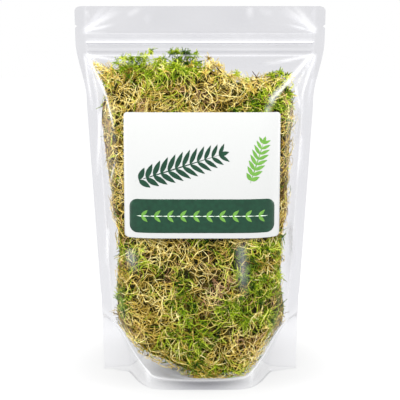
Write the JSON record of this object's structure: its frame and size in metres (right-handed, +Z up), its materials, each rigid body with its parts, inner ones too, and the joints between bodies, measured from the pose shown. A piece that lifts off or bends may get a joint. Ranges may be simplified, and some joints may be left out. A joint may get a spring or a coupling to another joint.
{
  "type": "sphagnum moss in a stand-up pouch",
  "caption": "Clump of live sphagnum moss, straw and green tufts packed tight in a clear resealable stand-up pouch with a bottom gusset, press-to-close zip and plain front label.",
  "frame": {"origin": "centre of the bounding box's bottom face, on the table", "axes": "+Z up, -Y towards the front with the label, +X to the viewer's right"},
  "size_m": [0.23, 0.0976, 0.356],
  "materials": {
    "film": "clear glossy film",
    "zip": "milky clear",
    "label": "satin",
    "moss_straw": "matt, dry strands",
    "moss_green": "matt, leafy"
  },
  "bodies": {
    "root": {"pouch_front_panel": "film", "pouch_back_panel": "film", "pouch_bottom_gusset": "film", "zip_track_single_rib": "zip", "zip_track_double_rib": "zip", "front_label": "label", "moss_straw_left_shoulder": "moss_straw", "moss_green_crown": "moss_green", "moss_straw_crown": "moss_straw", "moss_green_right_shoulder": "moss_green", "moss_straw_left": "moss_straw", "moss_green_heart": "moss_green", "moss_green_left": "moss_green", "moss_straw_middle": "moss_straw", "moss_straw_right": "moss_straw", "moss_straw_bottom": "moss_straw", "moss_green_bottom": "moss_green"}
  },
  "joints": []
}
